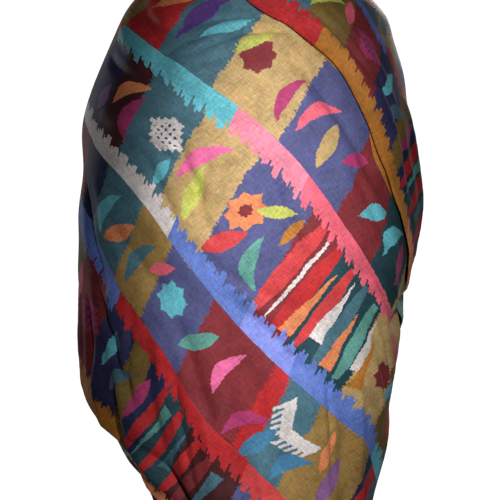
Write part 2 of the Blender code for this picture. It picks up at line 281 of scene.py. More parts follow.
def fold_rise(points, folds, sharp=False):
    """How far all the folds together lift the cloth. A sharp trough comes to a line."""
    part = np.linspace(0.0, 1.0, FOLD_SAMPLES)
    weights = ((1 - part) ** 2, 2 * part * (1 - part), part**2)
    strength = np.sin(math.pi * part) ** FOLD_FADE
    rise = np.zeros(points.shape[:-1])
    for *places, half_width, crest in folds:
        angle = sum(w * place for w, place in zip(weights, places[0::2]))
        height = sum(w * place for w, place in zip(weights, places[1::2]))
        line = form_point(angle, height)
        middle = line.mean(axis=0)
        longest = np.linalg.norm(line - middle, axis=-1).max() + half_width
        near = np.linalg.norm(points - middle, axis=-1) < longest
        away = np.linalg.norm(points[near][:, None, :] - line, axis=-1)
        if not away.size:
            continue
        reach = np.clip(away.min(axis=-1) / half_width, 0.0, 1.0)
        if sharp and crest < 0:
            profile = (1 - reach) ** TROUGH_SHARPNESS
        else:
            profile = (1 + np.cos(math.pi * reach)) / 2
        rise[near] += crest * strength[away.argmin(axis=-1)] * profile
    return rise


# Cotton that has been worn is never quite flat: long low swells run through it in many directions.
SWELLS = (
    # wavelength in metres, across, ahead, up, phase, height in metres
    (0.11, 0.8, 0.3, 0.5, 0.4, 0.001),
    (0.083, -0.5, 0.4, 0.8, 2.1, 0.0008),
    (0.14, 0.2, -0.7, 0.7, 4.0, 0.0011),
    (0.061, 0.7, 0.5, -0.5, 1.3, 0.0005),
    (0.047, -0.6, -0.6, 0.5, 5.2, 0.0003),
)


def swell(points):
    rise = np.zeros(points.shape[:-1])
    for length, across, ahead, up, phase, height in SWELLS:
        rise += height * np.sin(2 * math.pi / length * points @ (across, ahead, up) + phase)
    return rise


# %% [markdown]
# ## The edges of each stretch
#
# A wound cloth overlaps itself. Each stretch is a row of sections: at this angle the cloth starts
# at this height, ends at that one, and its lower edge stands off the layer below, or is tucked
# in. The shoulder stretch ends in front in a soft fold along one of the woven bands, and at the
# back in the corner of the end that is thrown over.

# %% Sections of the three stretches: angle, top, bottom, how far the lower edge stands off
UNDER_SECTIONS = (
    (37.5, 0.012, -0.852, -0.005),  # hidden ends are tucked in
    (60, 0.014, -0.88, -0.004),
    (90, 0.018, -0.925, 0.0),
    (120, 0.02, -0.935, 0.005),
    (150, 0.022, -0.925, 0.006),
    (180, 0.024, -0.935, 0.005),
    (210, 0.022, -0.93, 0.006),
    (240, 0.02, -0.92, 0.005),
    (270, 0.018, -0.905, 0.004),
    (300, 0.014, -0.883, 0.0),
    (322.5, 0.012, -0.852, -0.005),
)
FRONT_SECTIONS = (
    (-165, 0.034, -0.22, 0.0),
    (-142.5, 0.033, -0.335, 0.0),
    (-120, 0.031, -0.45, 0.005),
    (-97.5, 0.029, -0.585, 0.007),
    (-82.5, 0.028, -0.655, 0.008),
    (-67.5, 0.027, -0.715, 0.009),
    (-52.5, 0.025, -0.815, 0.009),
    (-37.5, 0.024, -0.885, 0.007),
    (-15, 0.022, -0.975, 0.006),
    (7.5, 0.022, -1.06, 0.005),
    (22.5, 0.023, -1.115, 0.004),  # lowest corner of the cloth
    (37.5, 0.024, -1.08, 0.005),
    (60, 0.026, -1.0, 0.006),
    (90, 0.03, -0.89, 0.006),
    (120, 0.032, -0.78, 0.005),
    (142.5, 0.034, -0.69, 0.0),
    (165, 0.034, -0.56, 0.0),
)
SHOULDER_SECTIONS = (
    (-15, 0.036, 0.0, 0.003),
    (-7.5, 0.037, -0.045, 0.003),
    (0, 0.038, -0.078, 0.003),
    (15, 0.039, -0.124, 0.003),
    (30, 0.04, -0.18, 0.003),
    (45, 0.041, -0.28, 0.004),
    (60, 0.042, -0.39, 0.005),
    (75, 0.042, -0.48, 0.006),
    (90, 0.043, -0.545, 0.006),
    (120, 0.044, -0.61, 0.005),
    (150, 0.045, -0.665, 0.006),
    (172.5, 0.045, -0.695, 0.006),  # corner of the end thrown over the shoulder
    (187.5, 0.045, -0.64, 0.006),
    (202.5, 0.044, -0.52, 0.006),
    (217.5, 0.043, -0.385, 0.006),
    (232.5, 0.042, -0.225, 0.006),
    (240, 0.041, -0.12, 0.006),
)
WALL = 0.0020            # thickness of the solid wall
LAYER = 0.0029           # from one layer of cloth to the next
FLARE_REACH = 0.060      # how far up from its lower edge a stretch stands off
SETTLE = 0.003           # the cloth lies a little inside the solid's wall, so its ridges reach it
ROLL_REACH = 0.018       # how far up from a folded edge the cloth rolls in
BAND_LEAVES_EDGE = 150   # angle round the body where the band runs off the folded edge,
BAND_CLIMB = 0.5         # and how steeply it climbs from there
FOLD_DEPTH = 1.6         # the folds of the cloth run a little deeper than those of the solid
CREASE_DEPTH = 4.8       # and all the fine creases are deepened by this
CLOTH = 0.0009           # thickness of the woven cotton
COVERED_SINK = 0.004     # a stretch lies this much deeper under each one that is on it
COVER_START, COVER_REACH = 0.008, 0.025    # how far in from the covering edge that comes
COVER_TURN = 10.0        # and how many degrees in from its ends
TOP_HOLLOW = 0.65        # the share of the edge hollows that the shoulder stretch follows
WIDEST = -0.35           # height where the columns of a grid are one cell apart
ROWS_FOR_LENGTH = 0.92   # rows for each cell's length of the tallest column
COLUMN_SAMPLES = 300     # heights at which a column's length is measured
BELOW_EDGE = 0.004       # and how far below the edge they begin

# A turned edge, from the hidden end of the turning round to the outer face. Each row is how far
# up the cloth the point lies from the fold, and how far in towards the body, in metres.
TURNED_EDGE = (
    (0.0085, 0.0026), (0.0045, 0.0027), (0.0015, 0.0027), (0.0002, 0.0021), (-0.0004, 0.0012),
    (0.0002, 0.0004), (0.0018, 0.0),
)
FOLD_ROW = 4             # its row at the fold

# %% [markdown]
# ## The plan of the woven pattern
#
# The pattern must run with the threads, so it needs a flat map of the cloth. Each point gets two
# lengths in metres: one along the bands and one across them. They start from the arc length round
# the body and the arc length up it. The cloth is pulled a little out of square across the chest,
# so the bands there are laid through a few listed places, and run on straight from there.

# %% Arc lengths on the form, and where the bands run
BAND_SLOPE = math.radians(48)
BAND_REPEAT = 0.315      # one toothed pair of bands with the ground between, and the plain ground
UP_BAND = -0.074         # smooth edge of the band whose teeth point up, across the bands
DOWN_BAND = 0.115        # and of the one whose teeth point down
PLAN_LEVEL = -0.435      # height where the length up the cloth is zero

# Each row is a band's smooth edge: its place across the bands, then (round, up) in metres. They
# are read off the picture to the nearest 5 mm.
BAND_LINES = (
    (DOWN_BAND - BAND_REPEAT, (-0.22, -0.005), (-0.185, -0.06), (-0.13, -0.13),
     (-0.065, -0.235), (-0.015, -0.285), (0.055, -0.355)),
    (UP_BAND, (-0.24, 0.15), (-0.155, 0.07), (-0.09, -0.015),
     (-0.03, -0.09), (0.08, -0.2), (0.18, -0.28)),
    (DOWN_BAND, (-0.195, 0.335), (-0.07, 0.24), (-0.015, 0.2),
     (0.075, 0.115), (0.145, 0.02), (0.22, -0.075)),
    (UP_BAND + BAND_REPEAT, (0.035, 0.345), (0.075, 0.31), (0.115, 0.27),
     (0.17, 0.195), (0.2, 0.12), (0.24, 0.06)),
)

level_angles = np.arange(-170.0, 335.0, 2.0)             # every 2 degrees
level_heights = np.linspace(-1.16, 0.06, 245)            # every 5 mm
level_points = form_point(*np.meshgrid(level_angles, level_heights))
steps_round = np.linalg.norm(np.diff(level_points, axis=1), axis=-1)
steps_up = np.linalg.norm(np.diff(level_points, axis=0), axis=-1)
length_round = np.pad(steps_round.cumsum(axis=1), ((0, 0), (1, 0)))
length_round -= length_round[:, [int(np.argmin(np.abs(level_angles)))]]
length_up = np.pad(steps_up.cumsum(axis=0), ((1, 0), (0, 0)))
length_up -= length_up[[int(np.argmin(np.abs(level_heights - PLAN_LEVEL)))]]


def read_level(table, angle, height):
    """Reads a table of lengths between its points."""
    angle_step = level_angles[1] - level_angles[0]
    height_step = level_heights[1] - level_heights[0]
    across = np.clip((angle - level_angles[0]) / angle_step, 0, len(level_angles) - 1.001)
    up = np.clip((height - level_heights[0]) / height_step, 0, len(level_heights) - 1.001)
    i, j = across.astype(int), up.astype(int)
    p, q = across - i, up - j
    below = (1 - p) * table[j, i] + p * table[j, i + 1]
    above = (1 - p) * table[j + 1, i] + p * table[j + 1, i + 1]
    return (1 - q) * below + q * above


def band_line_up(line, round_body):
    """How far up a band's line lies at a place round the body, straight on past its ends."""
    places = np.array(line[1:])
    run_on = math.tan(BAND_SLOPE)
    before = np.clip(places[0, 0] - round_body, 0, None) * run_on
    after = np.clip(round_body - places[-1, 0], 0, None) * run_on
    return smooth_between(places[:, 0], places[:, 1], round_body) + before - after


def across_bands(round_body, up):
    """The place across the bands, read between the band lines above and below each point."""
    lines = np.stack([band_line_up(line, round_body) for line in BAND_LINES])
    values = [line[0] for line in BAND_LINES]
    scale = math.cos(BAND_SLOPE)
    across = values[0] + (up - lines[0]) * scale
    for i in range(len(values) - 1):
        part = (up - lines[i]) / (lines[i + 1] - lines[i])
        across = np.where(part > 0, values[i] + part * (values[i + 1] - values[i]), across)
    return np.where(up > lines[-1], values[-1] + (up - lines[-1]) * scale, across)


def flat_cut(sections):
    """Width, length and area of one stretch laid flat, in metres: the plan alone, without folds."""
    places, tops, bottoms, _ = np.array(sections).T
    angle = (level_angles[:-1] + level_angles[1:]) / 2
    height = (level_heights[:-1] + level_heights[1:])[:, None] / 2
    top, bottom = (smooth_between(places, edge, angle) for edge in (tops, bottoms))
    shown = (angle > places[0]) & (angle < places[-1]) & (height < top) & (height > bottom)
    wide, tall = steps_round[:-1] * shown, steps_up[:, :-1] * shown
    return float(wide.sum(axis=1).max()), float(tall.sum(axis=0).max()), float((wide * tall).sum())


# %% [markdown]
# ## Laying the cloth
#
# Each stretch starts as what it really is, a flat grid of cloth. Its points are then laid on the
# form, column by column, at equal lengths up the plain form. Its folds then take 3 to 8 percent
# more, which the grid stretches to cover: real cloth would draw in. Sideways the cloth follows
# the form and draws together towards the neck, where real cloth would gather. A cloth simulation
# would find a drape of its own, but this wearer's folds are known from the picture, so they are
# listed one by one, and only the wall comes from a modifier.

# %% Lay one stretch of cloth
COVERS = (FRONT_SECTIONS, SHOULDER_SECTIONS)     # what lies on layer 0, and on layer 1


def covered(sections, angle, height):
    """0 where a stretch is clear of the one with these sections, 1 well inside its edges."""
    places, _, bottoms, _ = np.array(sections).T
    turned = places[0] + (angle - places[0]) % 360
    edge = np.interp(turned, places, bottoms)
    from_end = np.minimum(turned - places[0], places[-1] - turned) / COVER_TURN
    return np.clip((height - edge - COVER_START) / COVER_REACH, 0, 1) * np.clip(from_end, 0, 1)


def lay_cloth(name, sections, layer, cell, fold_edge, roll, plan_shift, band_on_edge):
    """Lays a flat grid on the form as one stretch, and gives it its plan as a UV map."""
    places, tops, bottoms, flares = np.array(sections).T
    middle = read_level(length_round, places, np.full(places.shape, WIDEST))
    across_cells = round(float(np.ptp(middle)) / cell)
    rows_above = round(ROWS_FOR_LENGTH * (tops - bottoms).max() / cell)
    rows = rows_above + len(TURNED_EDGE)

    bpy.ops.object.select_all(action="DESELECT")
    bpy.ops.mesh.primitive_grid_add(x_subdivisions=across_cells, y_subdivisions=rows - 1, size=1.0)
    cloth = bpy.context.object
    cloth.name = cloth.data.name = name
    flat = np.empty(3 * len(cloth.data.vertices))
    cloth.data.vertices.foreach_get("co", flat)
    flat = flat.reshape(rows, -1, 3)

    angles = np.interp(flat[0, :, 0] + 0.5, (0, 1), (places[0], places[-1]))
    top, bottom = (smooth_between(places, edge, angles) for edge in (tops, bottoms))
    flare = np.interp(angles, places, flares)

    up_from_edge = np.empty((rows, len(angles)))
    heights = np.empty_like(up_from_edge)
    for i, angle in enumerate(angles):
        fine = np.linspace(bottom[i] - BELOW_EDGE, top[i], COLUMN_SAMPLES)
        lengths = read_level(length_up, np.full(fine.shape, angle), fine)
        lengths -= np.interp(bottom[i], fine, lengths)
        start = TURNED_EDGE[-1][0]
        spread = start + (lengths[-1] - start) * np.linspace(0, 1, rows_above + 1)[1:]
        up_from_edge[:, i] = [*(point[0] for point in TURNED_EDGE), *spread]
        heights[:, i] = np.interp(up_from_edge[:, i], lengths, fine)
    sink = np.zeros(rows)
    sink[: len(TURNED_EDGE)] = [fold_edge * point[1] for point in TURNED_EDGE]

    angle_grid = np.broadcast_to(angles, heights.shape)
    form = form_point(angle_grid, heights)
    rise = FOLD_DEPTH * fold_rise(form, FOLDS) + CREASE_DEPTH * fold_rise(form, CREASES, sharp=True)
    rise += fold_rise(form, SLACK) + swell(form)
    rise += fold_rise(form, EDGE_HOLLOWS) * (1.0 if layer < len(COVERS) else TOP_HOLLOW)
    rise -= COVERED_SINK * sum(covered(above, angle_grid, heights) for above in COVERS[layer:])
    away = np.clip((heights - bottom) / FLARE_REACH, 0.0, 1.0)
    rolled = roll * (1 - np.clip(up_from_edge / ROLL_REACH, 0.0, 1.0)) ** 2
    lift = rise + flare * (1 - away) ** 2 + layer * LAYER + WALL - SETTLE - sink[:, None] - rolled
    points = form + outward(angle_grid, heights) * lift[..., None]
    cloth.data.vertices.foreach_set("co", points.ravel())

    # The plan: the turning's back carries on past the fold, as the cloth does.
    round_body = read_level(length_round, angle_grid, heights)
    up = read_level(length_up, angle_grid, heights)
    up[:FOLD_ROW] = 2 * up[FOLD_ROW] - up[:FOLD_ROW]
    if band_on_edge:
        edge_angles = np.minimum(angles, BAND_LEAVES_EDGE)
        edge_heights = np.interp(edge_angles, angles, bottom)
        past = read_level(length_round, angles, bottom) - read_level(length_round, edge_angles, edge_heights)
        edge_up = read_level(length_up, edge_angles, edge_heights) - BAND_CLIMB * past
        across = UP_BAND + BAND_REPEAT + (up - edge_up) * math.cos(BAND_SLOPE)
    else:
        across = across_bands(round_body, up)
    along = round_body * math.cos(BAND_SLOPE) - up * math.sin(BAND_SLOPE)
    plan = np.stack([along + plan_shift[0], across + plan_shift[1]], axis=-1).reshape(-1, 2)
    loops = np.empty(len(cloth.data.loops), dtype=int)
    cloth.data.loops.foreach_get("vertex_index", loops)
    layer_map = cloth.data.uv_layers.active or cloth.data.uv_layers.new()
    layer_map.name = "ClothPlan"
    layer_map.data.foreach_set("uv", plan[loops].ravel())
    cloth.data.update()
    return cloth


# %% [markdown]
# The thickness comes last. Solidify pushes a second skin inwards, so the face that shows stays
# where it was laid. The modifier is applied, because a kept piece is a plain mesh.

# %% Give the cloth its thickness
def thicken(cloth):
    bpy.ops.object.select_all(action="DESELECT")
    cloth.select_set(True)
    bpy.context.view_layer.objects.active = cloth
    wall = cloth.modifiers.new("cloth", "SOLIDIFY")
    wall.thickness = CLOTH
    wall.offset = -1.0
    bpy.ops.object.modifier_apply(modifier=wall.name)
    bpy.ops.object.shade_smooth_by_angle(angle=math.radians(60))
    return cloth


STRETCHES = (
    # name, sections, layer, cell of the grid, turning, roll of the edge, shift of the plan,
    # and whether a band follows the edge
    ("under_cloth", UNDER_SECTIONS, 0, 0.0052, 0.6, 0.001, (0.93, 0.085), False),
    ("front_cloth", FRONT_SECTIONS, 1, 0.0052, 0.6, 0.001, (0.0, 0.0), False),
    ("shoulder_cloth", SHOULDER_SECTIONS, 2, 0.0052, 1.0, 0.0025, (0.0, 0.0), True),
)
cloths = {row[0]: thicken(lay_cloth(*row)) for row in STRETCHES}

# %% [markdown]
# ## The cotton
#
# The real cloth is hand-woven cotton with extra coloured threads laid in by hand, so every edge
# of the pattern climbs in small steps, one thread at a time, and no two threads start at quite
# the same place. That is drawn by snapping the plan to the threads and shifting each thread by a
# little of its own. The threads are about 0.4 mm apart; the steps are drawn 1.5 mm wide, because
# finer ones would not show.

# %% Colours and the one helper that adds a node
def linear(hex_colour):
    """An sRGB hex colour as linear values."""
    parts = [int(hex_colour[i : i + 2], 16) / 255 for i in (1, 3, 5)]
    return (*(p / 12.92 if p <= 0.04045 else ((p + 0.055) / 1.055) ** 2.4 for p in parts), 1.0)


YARNS = {name: linear(colour) for name, colour in {
    "turquoise": "#65BBC9", "teal": "#4A707E", "deep_teal": "#26464F", "coral": "#EC667A",
    "pink": "#EE869C", "off_white": "#DBD2CF", "blue": "#637CC6", "periwinkle": "#818DDA",
    "red": "#BC2A2E", "bright_red": "#D04446", "orange": "#BE7A30", "light_orange": "#E3885A",
    "ochre": "#C0A06C", "dark_ochre": "#9A7A44", "olive": "#77602F", "indigo": "#545785",
    "deep_indigo": "#323259", "maroon": "#822D33", "deep_maroon": "#471F22", "magenta": "#AF3A6C",
    "hot_pink": "#EE6FA3", "lime": "#C0C260", "mint": "#619C90", "purple": "#57357F",
    "mauve": "#895F91", "navy": "#232C51", "steel_blue": "#457EA2",
}.items()}

cotton = bpy.data.materials.new("handwoven_cotton")
cotton.use_nodes = True
tree = cotton.node_tree
tree.nodes.clear()


def add(kind, inputs=None, **settings):
    """Adds a node, sets what it is given, and links the inputs that are nodes or sockets.

    What follows a colon in kind is the node's operation, and a list gives its inputs in order.
    """
    kind, _, operation = kind.partition(":")
    node = tree.nodes.new("ShaderNode" + kind)
    if operation:
        node.operation = operation
    for name, value in settings.items():
        setattr(node, name, value)
    if isinstance(inputs, list):
        inputs = dict(enumerate(inputs))
    for key, value in (inputs or {}).items():
        if isinstance(value, bpy.types.Node):
            value = value.outputs[0]
        if isinstance(value, bpy.types.NodeSocket):
            tree.links.new(value, node.inputs[key])
        else:
            node.inputs[key].default_value = value
    return node


# %% Threads: the plan, snapped and shifted thread by thread
THREAD = 0.0015
WANDER_SCALE = 38.0      # lines of the pattern wander, over about 26 mm,
WANDER, BAND_WANDER = 0.005, 0.001       # by up to half this much
WARP_START, WEFT_START, BAND_START = 0.0014, 0.0012, 0.0006      # how far each thread is shifted
plan = add("UVMap", uv_map="ClothPlan")
unsteady = add("TexNoise", {"Vector": plan, "Scale": WANDER_SCALE, "Detail": 1.0}, noise_dimensions="2D")
drift = add("VectorMath:SUBTRACT", [unsteady.outputs["Color"], (0.5, 0.5, 0.5)])
drawn = add("VectorMath:MULTIPLY_ADD", [drift, (WANDER, WANDER, 0.0), plan])
snapped = add("VectorMath:SNAP", [drawn, (THREAD, THREAD, 1.0)])
thread_at = add("SeparateXYZ", [snapped])
warp_start = add("TexWhiteNoise", {"W": thread_at.outputs["X"]}, noise_dimensions="1D")
weft_start = add("TexWhiteNoise", {"W": thread_at.outputs["Y"]}, noise_dimensions="1D")
run = add("Math:MULTIPLY_ADD", [weft_start, WEFT_START, thread_at.outputs["X"]])
rise = add("Math:MULTIPLY_ADD", [warp_start, WARP_START, thread_at.outputs["Y"]])

# %% [markdown]
# ## Where a point lies in the repeat
#
# Weavers count repeats. Across the bands the pattern repeats every BAND_REPEAT, and every other
# repeat is moved along by half of the long repeat, so neighbours differ.

# %% The repeat, once with the unsteady threads for the figures and once steadier for the bands
HALF_RUN = 0.76
RUN_START, RUN_LENGTH = -0.5 * HALF_RUN, 2 * HALF_RUN
steady = add("VectorMath:MULTIPLY_ADD", [drift, (BAND_WANDER, BAND_WANDER, 0.0), plan])
steady_at = add("SeparateXYZ", [steady])
steady_rise = add("Math:MULTIPLY_ADD", [warp_start, BAND_START, steady_at.outputs["Y"]])
places_in_repeat = []
for run_at, rise_at in ((run, rise), (steady_at.outputs["X"], steady_rise)):
    from_band = add("Math:ADD", [rise_at, -UP_BAND])
    repeat = add("Math:FLOOR", [add("Math:DIVIDE", [from_band, BAND_REPEAT])])
    over = add("Math:FLOORED_MODULO", [from_band, BAND_REPEAT])
    moved = add("Math:MULTIPLY_ADD", [repeat, HALF_RUN, run_at])
    along = add("Math:WRAP", [moved, RUN_START + RUN_LENGTH, RUN_START])
    places_in_repeat.append((along, over))
(along, over), (band_along, band_over) = places_in_repeat
spot = add("CombineXYZ", [along, over])

# %% [markdown]
# ## The ground colours
#
# Between the bands the ground changes colour in slanted blocks. A colour ramp with hard steps
# gives each block its length along the band. The wide ground lies between the teeth and the
# narrow one between the smooth edges, so there are two ramps.

# %% Ground blocks. Each row is where a block starts along the bands, in metres, and its yarn
def yarn_blocks(at, start, blocks):
    """Turns a length along the bands into blocks of yarn, the first of them from start on."""
    part = add("MapRange", [at, start, start + RUN_LENGTH])
    ramp = add("ValToRGB", [part])
    ramp.color_ramp.interpolation = "CONSTANT"
    stops = ramp.color_ramp.elements
    while len(stops) < len(blocks):
        stops.new(1.0)
    for stop, (block_start, yarn) in zip(stops, blocks):
        stop.position = (block_start - RUN_START) / RUN_LENGTH
        stop.color = YARNS[yarn]
    return ramp


WIDE_GROUND = (
    (-0.38, "deep_indigo"), (-0.31, "deep_maroon"), (-0.256, "teal"), (-0.165, "ochre"),
    (-0.07, "indigo"), (0.04, "maroon"), (0.105, "deep_teal"), (0.215, "ochre"),
    (0.3, "olive"), (0.39, "indigo"), (0.46, "teal"), (0.535, "olive"), (0.612, "maroon"),
    (0.69, "deep_indigo"), (0.77, "olive"), (0.806, "navy"), (0.845, "deep_teal"),
    (0.91, "deep_maroon"), (1.02, "indigo"), (1.09, "olive"),
)
NARROW_GROUND = (
    (-0.38, "red"), (-0.33, "teal"), (-0.226, "ochre"), (-0.11, "indigo"),
    (0.02, "maroon"), (0.11, "deep_teal"), (0.2, "ochre"), (0.3, "olive"), (0.38, "maroon"),
    (0.49, "navy"), (0.55, "teal"), (0.63, "dark_ochre"), (0.705, "indigo"), (0.8, "maroon"),
    (0.922, "red"), (0.955, "teal"), (1.01, "dark_ochre"), (1.136, "navy"),
)
BLOCK_SLANT = 0.35
INTERLOCK = 0.0045       # the threads of two blocks reach this far into each other
WIDE_MIDDLE, NARROW_MIDDLE = 0.095, 0.252      # the middle line of each ground, across the bands
interlocked = add("Math:MULTIPLY_ADD", [weft_start, INTERLOCK, along])
slanted = add("Math:MULTIPLY_ADD", [over, BLOCK_SLANT, interlocked])
wide_ground = yarn_blocks(slanted, RUN_START + BLOCK_SLANT * WIDE_MIDDLE, WIDE_GROUND)
narrow_ground = yarn_blocks(slanted, RUN_START + BLOCK_SLANT * NARROW_MIDDLE, NARROW_GROUND)
in_narrow = add("Math:GREATER_THAN", [over, DOWN_BAND - UP_BAND])
layers = [(in_narrow, narrow_ground)]    # what lies on the wide ground: where, and its colour

# %% [markdown]
# ## Leaves, bars, diamonds, stars and chevrons
#
# The small figures are common ones in hand weaving. Each is a simple rule on its own small
# square: taking away the figure's middle moves the repeat there, two dot products turn it and
# scale it to the figure's size, and a few steps of arithmetic say whether a point is inside.

# %% The figures. along, over, turn in degrees, half length, half width, yarn
FIGURES = (
    ("curl", -0.288, 0.112, 62, 0.036, 0.017, "light_orange"),
    ("curl", -0.258, 0.082, 108, 0.04, 0.018, "magenta"),
    ("leaf", -0.316, 0.07, 100, 0.026, 0.009, "mauve"),
    ("diamond", -0.204, 0.1, 0, 0.036, 0.03, "off_white"),
    ("curl", -0.14, 0.112, 72, 0.042, 0.016, "hot_pink"),
    ("leaf", -0.112, 0.072, 116, 0.042, 0.011, "lime"),
    ("leaf", -0.166, 0.058, 100, 0.026, 0.009, "turquoise"),
    ("star", -0.044, 0.104, 8, 0.028, 0.028, "light_orange"),
    ("star", -0.044, 0.104, 8, 0.01, 0.01, "maroon"),
    ("leaf", -0.034, 0.058, 64, 0.034, 0.013, "bright_red"),
    ("curl", 0.016, 0.064, 132, 0.036, 0.016, "mint"),
    ("leaf", -0.014, 0.128, 38, 0.026, 0.009, "lime"),
    ("leaf", 0.02, 0.124, 96, 0.022, 0.008, "orange"),
    ("bar", 0.054, 0.094, 98, 0.066, 0.013, "bright_red"),
    ("bar", 0.074, 0.094, 98, 0.064, 0.003, "off_white"),
    ("bar", 0.093, 0.094, 98, 0.066, 0.012, "red"),
    ("wedge", 0.112, 0.084, 276, 0.052, 0.01, "light_orange"),
    ("bar", 0.131, 0.094, 100, 0.064, 0.01, "bright_red"),
    ("wedge", 0.146, 0.1, 282, 0.05, 0.011, "off_white"),
    ("bar", 0.166, 0.094, 102, 0.066, 0.01, "teal"),
    ("wedge", 0.183, 0.08, 284, 0.046, 0.01, "light_orange"),
    ("bar", 0.201, 0.094, 106, 0.062, 0.01, "mint"),
    ("wedge", 0.218, 0.102, 288, 0.044, 0.01, "off_white"),
    ("wedge", 0.236, 0.08, 288, 0.04, 0.01, "orange"),
    ("star", 0.276, 0.095, 0, 0.025, 0.025, "maroon"),
    ("curl", 0.318, 0.104, 66, 0.038, 0.018, "turquoise"),
    ("leaf", 0.358, 0.085, 112, 0.038, 0.012, "bright_red"),
    ("curl", 0.562, 0.08, 66, 0.04, 0.018, "lime"),
    ("leaf", 0.602, 0.108, 112, 0.034, 0.011, "coral"),
    ("diamond", 0.655, 0.095, 0, 0.036, 0.03, "magenta"),
    ("leaf", 0.722, 0.106, 100, 0.036, 0.01, "turquoise"),
    ("curl", 0.764, 0.09, 76, 0.036, 0.015, "teal"),
    ("leaf", 0.806, 0.104, 104, 0.036, 0.01, "magenta"),
    ("bar", 0.838, 0.094, 100, 0.066, 0.009, "red"),
    ("wedge", 0.858, 0.088, 98, 0.05, 0.009, "mint"),
    ("bar", 0.88, 0.094, 102, 0.064, 0.009, "red"),
    ("wedge", 0.902, 0.1, 282, 0.05, 0.009, "teal"),
    ("bar", 0.925, 0.094, 100, 0.066, 0.01, "red"),
    ("bar", 0.951, 0.094, 98, 0.064, 0.01, "maroon"),
    ("wedge", 0.976, 0.094, 100, 0.054, 0.01, "teal"),
    ("star", 1.052, 0.095, 0, 0.024, 0.024, "light_orange"),
    ("leaf", -0.348, 0.25, 58, 0.034, 0.01, "light_orange"),
    ("curl", -0.302, 0.252, 84, 0.044, 0.015, "purple"),
    ("leaf", -0.262, 0.258, 66, 0.036, 0.011, "turquoise"),
    ("star", -0.196, 0.252, 0, 0.026, 0.026, "maroon"),
    ("curl", -0.124, 0.238, 104, 0.036, 0.015, "magenta"),
    ("leaf", -0.214, 0.268, 80, 0.036, 0.01, "lime"),
    ("curl", -0.078, 0.256, 70, 0.04, 0.017, "coral"),
    ("leaf", -0.036, 0.236, 112, 0.036, 0.012, "ochre"),
    ("leaf", 0.012, 0.266, 60, 0.034, 0.011, "magenta"),
    ("leaf", 0.084, 0.246, 64, 0.036, 0.012, "turquoise"),
    ("curl", 0.134, 0.258, 78, 0.042, 0.018, "turquoise"),
    ("leaf", 0.172, 0.244, 112, 0.038, 0.012, "magenta"),
    ("star", 0.248, 0.25, 0, 0.028, 0.028, "indigo"),
    ("curl", 0.574, 0.252, 100, 0.042, 0.017, "turquoise"),
    ("leaf", 0.612, 0.246, 70, 0.036, 0.012, "light_orange"),
    ("curl", 0.662, 0.246, 96, 0.04, 0.016, "teal"),
    ("leaf", 0.696, 0.272, 60, 0.026, 0.009, "coral"),
    ("star", 0.738, 0.256, 0, 0.028, 0.028, "turquoise"),
    ("leaf", 0.806, 0.252, 64, 0.036, 0.012, "mint"),
    ("curl", 0.862, 0.256, 96, 0.038, 0.016, "hot_pink"),
    ("curl", 0.934, 0.226, 60, 0.036, 0.016, "magenta"),
    ("chevron", 0.988, 0.262, 160, 0.042, 0.038, "off_white"),
    ("leaf", 0.968, 0.216, 84, 0.034, 0.013, "steel_blue"),
    ("curl", 1.022, 0.224, 66, 0.034, 0.018, "steel_blue"),
    ("leaf", 1.05, 0.274, 112, 0.03, 0.01, "light_orange"),
    ("leaf", 1.086, 0.248, 100, 0.034, 0.014, "mauve"),
)
